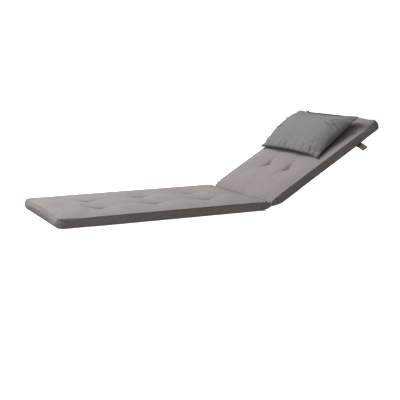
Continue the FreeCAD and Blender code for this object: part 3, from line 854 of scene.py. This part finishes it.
for number in range(CREASES):
    from_side = number % 2 == 0
    middle = rng.uniform(0.12, 0.88) if from_side else rng.uniform(-0.92, 0.92)
    inside = rng.uniform(26, 88) * MM if from_side else rng.uniform(16, 42) * MM
    half_long, half_wide = rng.uniform(20, 42) * MM, rng.uniform(4.5, 7.5) * MM
    deep, turn = rng.uniform(2.6, 5.0) * MM, rng.uniform(-0.45, 0.15)
    flip = -1.0 if number % 4 == 0 else 1.0
    deep *= 1.9 if from_side else 1.0
    middle = 0.3 + 0.5 * middle if from_side else middle
    if from_side:
        run, off = (all_u - middle) * PILLOW_LENGTH, (1 - all_v * flip) * PILLOW_WIDTH / 2 - inside
    else:
        run, off = (all_v - middle) * PILLOW_WIDTH / 2, depth_low - inside
    beside = (run * math.cos(turn) + off * math.sin(turn)) / half_wide
    lengthwise = (off * math.cos(turn) - run * math.sin(turn)) / half_long
    ridges = 0.6 * np.exp(-(beside - 1.7) ** 2) + 0.3 * np.exp(-(beside + 1.7) ** 2)
    shape = (np.exp(-beside ** 2) - ridges) * np.exp(-lengthwise ** 2)
    filled[:, 2] -= side_sign * deep * shape * smoothstep(off_rim / (8 * MM))
for corner_u, corner_v in ((0, -1), (0, 1), (1, -1), (1, 1)):
    away = np.hypot((all_u - corner_u) * PILLOW_LENGTH, (all_v - corner_v) * PILLOW_WIDTH / 2)
    toward = (-1, corner_v) if corner_u == 0 else (0.2, 1.7 * corner_v)
    filled[:, :2] += np.outer(np.exp(-away / POINTED_REACH), toward) * POINTED
belly = np.exp(-((depth_low - BELLY_AT) / BELLY_REACH) ** 2) * (1 - all_v ** 4) * is_front
filled[:, 0] -= BELLY * belly * smoothstep(depth_low / (12 * MM))
world = pillow_lay.out(filled)
pad_height = back_lay.back(world)[:, 2]
lift = np.maximum(CLEAR_OF_PAD - pad_height, 0)
filled[:, 2] += np.where(is_front, np.minimum(lift, 30 * MM), lift)
filled[~is_front, 2] = np.maximum(filled[~is_front, 2], PILLOW_UNDER + 0.3 * MM)
pillow_cover = mesh_object("pillow_cover", pillow_lay.out(filled), pillow_faces, pillow_uv,
                           [pillow_cloth])
rim_all = np.zeros(len(filled), bool)
rim_all[:index.size] = rim
mark_sharp(pillow_cover, rim_all[edge_ends(pillow_cover)].all(1))
subdivide = pillow_cover.modifiers.new("smooth", "SUBSURF")
subdivide.levels = subdivide.render_levels = 1
baked(pillow_cover)
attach(pillow_cover, "pillow")
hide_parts("pillow_fill", "pillow_front_panel", "pillow_back_panel")
low, high = filled.min(0), filled.max(0)
print("pillow %.0f x %.0f, from %.0f to %.0f mm about its seam" % (
    (high[0] - low[0]) / MM, (high[1] - low[1]) / MM, low[2] / MM, high[2] / MM))

# %% [markdown]
# ## Thread
# Stitches repeat along a line, so one Geometry Nodes tree makes them all: it takes lines, puts
# a small rounded thread on each at an even pitch, and turns it along or across the line. The
# same tree makes the bars that tie the tufts down and the turns of the zip's coil.

# %% A tree that lays threads along lines
def new_tree(name, inputs):
    """A Geometry Nodes tree with these inputs, each a name, a kind and a first value."""
    tree = bpy.data.node_groups.new(name, "GeometryNodeTree")
    for label, kind, value in inputs:
        made = tree.interface.new_socket(label, in_out="INPUT", socket_type="NodeSocket" + kind)
        if value is not None:
            made.default_value = value
    tree.interface.new_socket("Result", in_out="OUTPUT", socket_type="NodeSocketGeometry")
    return tree, add(tree, "NodeGroupInput").outputs


def thread_tree():
    tree, given = new_tree("threads_along_lines", (
        ("Lines", "Geometry", None), ("Pitch", "Float", 6 * MM), ("Length", "Float", 4 * MM),
        ("Radius", "Float", 0.6 * MM), ("Turn", "Float", 0.0), ("Seed", "Int", 1),
        ("Up", "Vector", (0, 0, 1)), ("Material", "Material", None)))
    curve = add(tree, "GeometryNodeMeshToCurve", links={0: given["Lines"]})
    spots = add(tree, "GeometryNodeCurveToPoints",
                links={"Curve": curve.outputs[0], "Length": given["Pitch"]}, mode="LENGTH")
    half = add(tree, "ShaderNodeMath", {1: 0.5}, {0: given["Length"]}, operation="MULTIPLY")
    size = add(tree, "ShaderNodeCombineXYZ",
               links={0: half.outputs[0], 1: given["Radius"], 2: given["Radius"]})
    ball = add(tree, "GeometryNodeMeshUVSphere", {"Segments": 8, "Rings": 5, "Radius": 1.0})
    long_way = add(tree, "GeometryNodeTransform", {"Rotation": (0, math.pi / 2, 0)},
                   {0: ball.outputs[0]})
    thread_shape = add(tree, "GeometryNodeTransform",
                       links={0: long_way.outputs[0], "Scale": size.outputs[0]})
    lengthwise = add(tree, "FunctionNodeAlignRotationToVector",
                     links={"Vector": spots.outputs["Tangent"]}, axis="X")
    upright = add(tree, "FunctionNodeAlignRotationToVector",
                  links={"Rotation": lengthwise.outputs[0], "Vector": given["Up"]},
                  axis="Z", pivot_axis="X")
    loose = add(tree, "FunctionNodeRandomValue", {"Min": -0.09, "Max": 0.09},
                {"Seed": given["Seed"]}, data_type="FLOAT")
    turned = add(tree, "ShaderNodeMath", links={0: given["Turn"], 1: loose.outputs[1]},
                 operation="ADD")
    about = add(tree, "ShaderNodeCombineXYZ", links={2: turned.outputs[0]})
    crossed = add(tree, "FunctionNodeRotateRotation",
                  links={0: upright.outputs[0], 1: about.outputs[0]}, rotation_space="LOCAL")
    laid = add(tree, "GeometryNodeInstanceOnPoints",
               links={"Points": spots.outputs["Points"], "Instance": thread_shape.outputs[0],
                      "Rotation": crossed.outputs[0]})
    real = add(tree, "GeometryNodeRealizeInstances", links={0: laid.outputs[0]})
    smooth = add(tree, "GeometryNodeSetShadeSmooth", links={0: real.outputs[0]})
    dyed = add(tree, "GeometryNodeSetMaterial",
               links={0: smooth.outputs[0], "Material": given["Material"]})
    add(tree, "NodeGroupOutput", links={0: dyed.outputs[0]})
    return tree


threads_along_lines = thread_tree()


def lines_object(name, lines):
    """A mesh of edges only: each line is an array of points."""
    edges, first = [], 0
    for line in lines:
        edges += [(first + k, first + k + 1) for k in range(len(line) - 1)]
        first += len(line)
    return mesh_object(name, np.concatenate(lines), (), edges=edges)


def run_tree(thing, tree, material, **inputs):
    """Give an object a Geometry Nodes modifier, set its inputs by identifier, and bake it."""
    modifier = thing.modifiers.new(tree.name, "NODES")
    modifier.node_group = tree
    inputs["Material"] = material
    for item in tree.interface.items_tree:
        if item.in_out == "INPUT" and item.name in inputs:
            modifier[item.identifier] = inputs[item.name]
    baked(thing)
    if material.name not in [m.name for m in thing.data.materials if m]:
        thing.data.materials.append(material)
    print(thing.name, len(thing.data.polygons), "faces")
    return thing


# %% [markdown]
# Lockstitches run beside both seams of each section. They are drawn a little thicker than real
# thread so that they show as a fine broken line.

# %% Stitches beside the seams
STITCH_PITCH = 6.5 * MM
STITCH_LENGTH = 5.0 * MM
STITCH_RADIUS = 0.65 * MM
SEAM_MARGIN = 5 * MM


def beside_seam(section, lay, ring, other, part):
    """Lines a little way from a seam, towards another ring, wherever the seam is sewn."""
    points = section.dressed
    start, toward = points[section.rings[ring]], points[section.rings[other]]
    way = toward - start
    length = np.linalg.norm(way, axis=1, keepdims=True)
    line = start + way * np.minimum(part / np.maximum(length, 1e-6), 0.9)
    middle = points[section.rings[ring]].mean(0)
    outward = line - middle
    outward[:, 2] = 0
    outward /= np.linalg.norm(outward, axis=1, keepdims=True)
    line = line + outward * 0.2 * MM
    kept = section.points[section.rings[ring], 0] > 12 * MM
    if section.soft_end:
        kept &= section.points[section.rings[ring], 0] < section.length - FOOT_WRAP
    runs = [[]]
    for point, keep in zip(lay.out(line), kept):
        if keep:
            runs[-1].append(point)
        elif runs[-1]:
            runs.append([])
    return [np.array(run) for run in runs if len(run) > 2]


for name, section, lay in (("seat_seam_stitches", seat, seat_lay),
                           ("back_seam_stitches", back, back_lay)):
    lines = (beside_seam(section, lay, 0, 1, SEAM_MARGIN)
             + beside_seam(section, lay, -1, -2, SEAM_MARGIN))
    stitched = run_tree(lines_object(name, lines), threads_along_lines, thread, Pitch=STITCH_PITCH,
                        Length=STITCH_LENGTH, Radius=STITCH_RADIUS, Turn=0.0, Seed=3)
    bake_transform(stitched)

# %% Bars that tie the tufts down
# The bars' dark thread also stands in for the shade in each tuft's narrow slit: painted shade where
# the net is too coarse to form the slit.
BAR_THREAD = 0.8 * MM
BAR_WIDTH = 4.2 * MM
BAR_OFF_CLOTH = 0.9 * MM


def surface_under(section, x, y, of_top=True):
    """Height of a dressed section's top or underside at one place."""
    first = 0 if of_top else section.count
    at = section.dressed[first:first + section.count]
    return at[np.argmin((at[:, 0] - x) ** 2 + (at[:, 1] - y) ** 2), 2]


for name, section, lay, node in (("seat_tufts", seat, seat_lay, "seat_tuft_ties"),
                                 ("back_tufts", back, back_lay, "back_tuft_ties")):
    lines = []
    for tie in section.ties:
        for of_top, lift in ((True, BAR_OFF_CLOTH), (False, -BAR_OFF_CLOTH)):
            height = surface_under(section, tie[0], tie[1], of_top) + lift
            line = np.array([(tie[0] + step * MM, tie[1], height) for step in (-7, 0, 7)])
            lines.append(lay.out(line))
    tied = run_tree(lines_object(name, lines), threads_along_lines, thread, Pitch=1.3 * MM,
                    Length=BAR_WIDTH, Radius=BAR_THREAD, Turn=math.pi / 2, Seed=8,
                    Up=tuple(lay.turn[2]))
    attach(tied, "seat_section" if section is seat else "back_section")
    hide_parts(node)

# %% Stitches round the pillow
seam_middle = filled[index[0]].mean(0) / 2 + filled[index[-1]].mean(0) / 2
seam_lines = []
for ids in (index[0, 3:-3], index[3:-3, -1], index[-1, -4:2:-1], index[-4:2:-1, 0]):
    outward = (filled[ids] - seam_middle) * (1, 1, 0)
    outward /= np.linalg.norm(outward, axis=1, keepdims=True)
    seam_lines.append(pillow_lay.out(filled[ids] + outward * 0.5 * MM))
pillow_seam = run_tree(lines_object("pillow_seam_stitches", seam_lines), threads_along_lines,
                       thread, Pitch=5 * MM, Length=5 * MM, Radius=0.8 * MM, Turn=0.0, Seed=5,
                       Up=tuple(pillow_lay.turn[2]))
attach(pillow_seam, "pillow")

# %% [markdown]
# ## Small strips: zip tape, hook and loop strips, tabs and label
# Each strip is a thin slab with rounded edges. Its flat length and width are its UV map, so the
# weave lies straight on it. A strip may bend a little along its length.

# %% A thin strip with rounded edges
EDGE_CUT = 0.35            # share of the thickness that the rounded edges are thinned by


def strip(name, low, high, lay, material, bend=None, cells=(24, 6)):
    """A slab between two corners of a lay; the thin side is found by itself."""
    size = high - low
    thin = int(np.argmin(size))
    one, two = [axis for axis in range(3) if axis != thin]
    nu, nv = cells
    points, flat = [], []
    for a in range(nu + 1):
        for side, order in enumerate((range(nv + 1), range(nv, -1, -1))):
            for b in order:
                place = np.zeros(3)
                place[one] = low[one] + size[one] * a / nu
                place[two] = low[two] + size[two] * b / nv
                inset = EDGE_CUT * size[thin] if b in (0, nv) or a in (0, nu) else 0
                place[thin] = high[thin] - inset if side else low[thin] + inset
                points.append(place)
                flat.append((size[one] * a / nu, size[two] * b / nv + side * 0.1))
    points = np.array(points)
    if bend is not None:
        points = bend(points)
    ring = 2 * (nv + 1)
    ids = np.arange(len(points)).reshape(nu + 1, ring)
    faces = tube_faces(ids)
    for row, flip in ((0, True), (nu, False)):
        for b in range(nv):
            quad = (ids[row, b], ids[row, b + 1], ids[row, ring - 2 - b], ids[row, ring - 1 - b])
            faces.append(quad[::-1] if flip else quad)
    uv = [flat[corner] for face in faces for corner in face]
    made = mesh_object(name, lay.out(points), faces, uv, [material])
    face_outwards(made)
    return made


def face_outwards(thing):
    work = bmesh.new()
    work.from_mesh(thing.data)
    bmesh.ops.recalc_face_normals(work, faces=work.faces)
    work.to_mesh(thing.data)
    work.free()


# %% Zip tape and coil
zip_tape = strip("zip_tape", tape_low, tape_high, pillow_lay, zip_tape_cloth, cells=(3, 90))
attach(zip_tape, "pillow")
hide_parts("pillow_zip_tape")
coil_low, coil_high = node_box("pillow_zip_coil", pillow_lay)
coil_middle = (coil_low + coil_high) / 2
TURN_PITCH = 2.0 * MM      # real turns are 1.3 mm apart; drawn a little coarser
COIL_WIRE = 0.98 * MM
coil_line = pillow_lay.out([(coil_middle[0] - 0.4 * MM, y, coil_middle[2])
                            for y in np.linspace(coil_low[1] + MM, coil_high[1] - MM, 60)])
zip_coil = run_tree(lines_object("zip_coil", [coil_line]), threads_along_lines, coil_plastic,
                    Pitch=TURN_PITCH, Length=coil_high[2] - coil_low[2], Radius=COIL_WIRE,
                    Turn=math.pi / 2, Seed=2, Up=tuple(pillow_lay.turn[0]))
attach(zip_coil, "pillow")
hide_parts("pillow_zip_coil")
for node in ("pillow_zip_stops", "zip_slider", "zip_pull"):
    thing = frame["nodes"][node]
    thing.data.materials.clear()
    thing.data.materials.append(zip_enamel)

# %% [markdown]
# Hook tape is a moulded bed of small hooks. A second tree stands one hook on every point of a
# grid. Real hooks are about 1.5 mm apart; these are further apart and larger, so that they show.

# %% A tree that stands hooks on a grid
def hook_tree():
    tree, given = new_tree("hooks_on_tape", (
        ("Grid", "Geometry", None), ("Height", "Float", 1 * MM), ("Wire", "Float", 0.2 * MM),
        ("Seed", "Int", 1), ("Up", "Vector", (0, 0, 1)), ("Material", "Material", None)))
    spots = add(tree, "GeometryNodeMeshToPoints", links={0: given["Grid"]})
    arc = add(tree, "GeometryNodeCurveArc", {"Resolution": 6, "Radius": 0.5, "Start Angle": 0.0,
                                             "Sweep Angle": 4.0})
    stand = add(tree, "GeometryNodeTransform",
                {"Translation": (0, 0, 0.5), "Rotation": (math.pi / 2, 0.6, 0)},
                {0: arc.outputs[0]})
    size = add(tree, "ShaderNodeCombineXYZ", links={axis: given["Height"] for axis in range(3)})
    scaled = add(tree, "GeometryNodeTransform",
                 links={0: stand.outputs[0], "Scale": size.outputs[0]})
    profile = add(tree, "GeometryNodeCurvePrimitiveCircle", {"Resolution": 4},
                  {"Radius": given["Wire"]})
    wire = add(tree, "GeometryNodeCurveToMesh", {"Fill Caps": True},
               {0: scaled.outputs[0], 1: profile.outputs[0]})
    upright = add(tree, "FunctionNodeAlignRotationToVector", links={"Vector": given["Up"]},
                  axis="Z")
    spin = add(tree, "FunctionNodeRandomValue", {"Min": -0.5, "Max": 0.5},
               {"Seed": given["Seed"]}, data_type="FLOAT")
    about = add(tree, "ShaderNodeCombineXYZ", links={2: spin.outputs[1]})
    turned = add(tree, "FunctionNodeRotateRotation",
                 links={0: upright.outputs[0], 1: about.outputs[0]}, rotation_space="LOCAL")
    laid = add(tree, "GeometryNodeInstanceOnPoints",
               links={"Points": spots.outputs[0], "Instance": wire.outputs[0],
                      "Rotation": turned.outputs[0]})
    real = add(tree, "GeometryNodeRealizeInstances", links={0: laid.outputs[0]})
    dyed = add(tree, "GeometryNodeSetMaterial",
               links={0: real.outputs[0], "Material": given["Material"]})
    add(tree, "NodeGroupOutput", links={0: dyed.outputs[0]})
    return tree


hooks_on_tape = hook_tree()
HOOK_WIRE = 0.16 * MM
HOOK_HEIGHT = 0.7 * MM


def hook_bed(name, low, high, lay, pitch, bend=None):
    """A tape with hooks on its upper side; the whole stays inside the CAD strip."""
    floor = high.copy()
    floor[2] = high[2] - HOOK_HEIGHT
    base = strip(name, low, floor, lay, hook_nylon, bend=bend)
    spread = [np.arange(low[k] + pitch / 2, high[k] - pitch / 4, pitch) for k in (0, 1)]
    spots = np.array([(a, b, floor[2] - 0.05 * MM) for a in spread[0] for b in spread[1]])
    if bend is not None:
        spots = bend(spots)
    hooks = lines_object(name + "_hooks", [lay.out(spots)])
    run_tree(hooks, hooks_on_tape, hook_nylon, Height=HOOK_HEIGHT, Wire=HOOK_WIRE, Seed=4,
             Up=tuple(lay.turn[2]))
    return base, hooks


def joined(main, *others):
    """Join meshes into one object without operators."""
    work = bmesh.new()
    work.from_mesh(main.data)
    for other in others:
        work.from_mesh(other.data)
        bpy.data.objects.remove(other)
    work.to_mesh(main.data)
    work.free()
    return main


# %% Hook strip on the back section and loop strip on the pillow
strip_low, strip_high = node_box("back_hook_strip", back_lay)
hook_strip = joined(*hook_bed("back_hook_tape", strip_low, strip_high, back_lay, 2.6 * MM))
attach(hook_strip, "back_section")
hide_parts("back_hook_strip")
loop_low, loop_high = node_box("pillow_loop_strip", pillow_lay)
loop_strip = strip("pillow_loop_tape", loop_low, loop_high, pillow_lay, brushed_loops,
                   cells=(6, 60))
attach(loop_strip, "pillow")
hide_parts("pillow_loop_strip")

# %% [markdown]
# The fastening tabs are webbing, sewn into the lower seams, and droop a little by their own
# weight. The label is a folded piece of satin with no print. Each has its own flat side, which
# gives the directions it is built in.

# %% Fastening tabs and care label
TAB_SAG = 3.0 * MM
INTO_SEAM = 3.2 * MM
STITCHED_IN = 1.5 * MM     # from the patch's edge to its box of stitches


def flat_side(node):
    """Upward direction of a CAD strip's largest face."""
    data = frame["nodes"][node].data
    largest = max(data.polygons, key=lambda face: face.area)
    normal = np.array(largest.normal, float)
    return normal if normal[2] > 0 else -normal


def strip_lay(node, along):
    normal = flat_side(node)
    return Lay((0, 0, 0), along, np.cross(normal, along), normal)


lean_along = leaning(LEAN)[0]
for side, body in (("near", "strap_near"), ("far", "strap_far")):
    lay = strip_lay("strap_%s_tab" % side, lean_along)
    low, high = node_box("strap_%s_tab" % side, lay)
    patch_low, patch_high = node_box("strap_%s_hook_patch" % side, lay)
    root = high[1] if side == "near" else low[1]
    length = high[1] - low[1]

    def sag(points, root=root, length=length):
        points = np.array(points, float)
        out = np.abs(points[:, 1] - root) / length
        points[:, 2] -= TAB_SAG * out ** 2 - 0.4 * MM * np.sin(points[:, 0] / (9 * MM)) * out
        return points

    if side == "near":
        high[1] += INTO_SEAM
    else:
        low[1] -= INTO_SEAM
    tab = strip("tab_%s_webbing" % side, low, high, lay, webbing, bend=sag, cells=(14, 18))
    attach(tab, body)
    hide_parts("strap_%s_tab" % side)
    patch = joined(*hook_bed("tab_%s_hooks" % side, patch_low, patch_high, lay, 2.4 * MM, bend=sag))
    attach(patch, body)
    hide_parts("strap_%s_hook_patch" % side)
    x0, y0 = (patch_low + STITCHED_IN)[:2]
    x1, y1 = (patch_high - STITCHED_IN)[:2]
    box_line = sag([(x, y, patch_high[2]) for x, y in
                    ((x0, y0), (x1, y0), (x1, y1), (x0, y1), (x0, y0))])
    sewn = run_tree(lines_object("tab_%s_stitches" % side, [lay.out(box_line)]),
                    threads_along_lines, thread, Pitch=3.2 * MM, Length=2.4 * MM,
                    Radius=0.35 * MM, Seed=6, Up=tuple(lay.turn[2]))
    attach(sewn, body)

label_lay = Lay((0, 0, 0), (1, 0, 0), (0, 1, 0), (0, 0, 1))
low, high = node_box("care_label", label_lay)
high[1] += INTO_SEAM
label_root = high[1]


def curl(points):
    points = np.array(points, float)
    out = (label_root - points[:, 1]) / (high[1] - low[1])
    points[:, 2] += 0.9 * MM * np.sin(out * 2.6) + 0.5 * MM * np.sin(points[:, 0] / (5 * MM)) * out
    return points


label = strip("care_label_satin", low, high, label_lay, label_satin, bend=curl, cells=(12, 10))
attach(label, "care_label")
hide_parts("care_label")

# %% [markdown]
# ## Studio
# One large soft light hangs high behind the set, so that the tops are light and the long near
# side falls into shade. Two weaker lights at the foot end lift the shade. The floor and the
# walls are glowing white paper that is only seen: it sends no light back to the set.

# %% Floor, lights and camera
PAPER_GLOW = 1.0
SKY_STRENGTH = 0.43


def studio_paper(name):
    """Matt white paper that glows, as when it is lit from behind."""
    made, tree, shader = new_material(name)
    place = add(tree, "ShaderNodeTexCoord").outputs["Object"]
    noise = add(tree, "ShaderNodeTexNoise", {"Scale": 3.0}, {"Vector": place})
    colour_between(tree, shader, "f6f6f6", "fbfbfb", noise.outputs[0])
    shader.inputs["Roughness"].default_value = 0.9
    shader.inputs["Emission Color"].default_value = (1, 1, 1, 1)
    shader.inputs["Emission Strength"].default_value = PAPER_GLOW
    return made


FLOOR_HALF = 14.0
FLOOR_DROP = 1.0 * MM
WALL_HEIGHT = 9.0
corners = [(x * FLOOR_HALF, y * FLOOR_HALF) for x, y in ((-1, -1), (1, -1), (1, 1), (-1, 1))]
floor = mesh_object("studio_floor", [(x, y, -FLOOR_DROP) for x, y in corners], [(0, 1, 2, 3)], None,
                    [studio_paper("pale_floor_paper")])
walls = mesh_object("studio_walls",
                    [(x, y, z) for z in (-FLOOR_DROP, WALL_HEIGHT) for x, y in corners],
                    [(4 + k, 4 + (k + 1) % 4, (k + 1) % 4, k) for k in range(4)], None,
                    [studio_paper("white_wall_paper")])
for thing in (floor, walls):
    thing.visible_diffuse = thing.visible_glossy = thing.visible_shadow = False


def soft_light(name, place, aim, size, power):
    """A square area light at a place, turned to what it aims at."""
    lamp = bpy.data.lights.new(name, "AREA")
    lamp.shape = "SQUARE"
    lamp.size, lamp.energy = size, power
    made = bpy.data.objects.new(name, lamp)
    made.location = place
    toward = np.array(aim, float) - np.array(place, float)
    flat = math.hypot(toward[0], toward[1])
    made.rotation_euler = (math.atan2(flat, -toward[2]), 0, math.atan2(-toward[0], toward[1]))
    bpy.context.scene.collection.objects.link(made)


soft_light("key_light", (-0.7, 1.5, 2.7), (0.1, 0.0, 0.1), 1.8, 160)
soft_light("side_light", (-3.4, -2.6, 0.9), (0.2, -0.3, 0.1), 0.9, 46)
soft_light("foot_light", (-3.6, 0.4, 1.1), (-0.2, 0.0, 0.1), 1.6, 15)
studio = bpy.data.worlds.new("white_studio")
studio.use_nodes = True
studio.node_tree.nodes["Background"].inputs["Color"].default_value = (1.0, 1.0, 1.0, 1.0)
studio.node_tree.nodes["Background"].inputs["Strength"].default_value = SKY_STRENGTH
bpy.context.scene.world = studio
bpy.context.scene.view_settings.view_transform = "Standard"

CAMERA_FROM_FOLD = (-2.1583, -3.9166, 0.7338)
CAMERA_TILT, CAMERA_TURN = math.radians(80.07), math.radians(-26.02)
camera = bpy.data.objects.new("camera", bpy.data.cameras.new("camera"))
camera.data.lens, camera.data.sensor_width = 74.3, 36.0
camera.location = FOLD + CAMERA_FROM_FOLD
camera.rotation_euler = (CAMERA_TILT, 0, CAMERA_TURN)
bpy.context.scene.collection.objects.link(camera)
bpy.context.scene.camera = camera
print("studio ready")
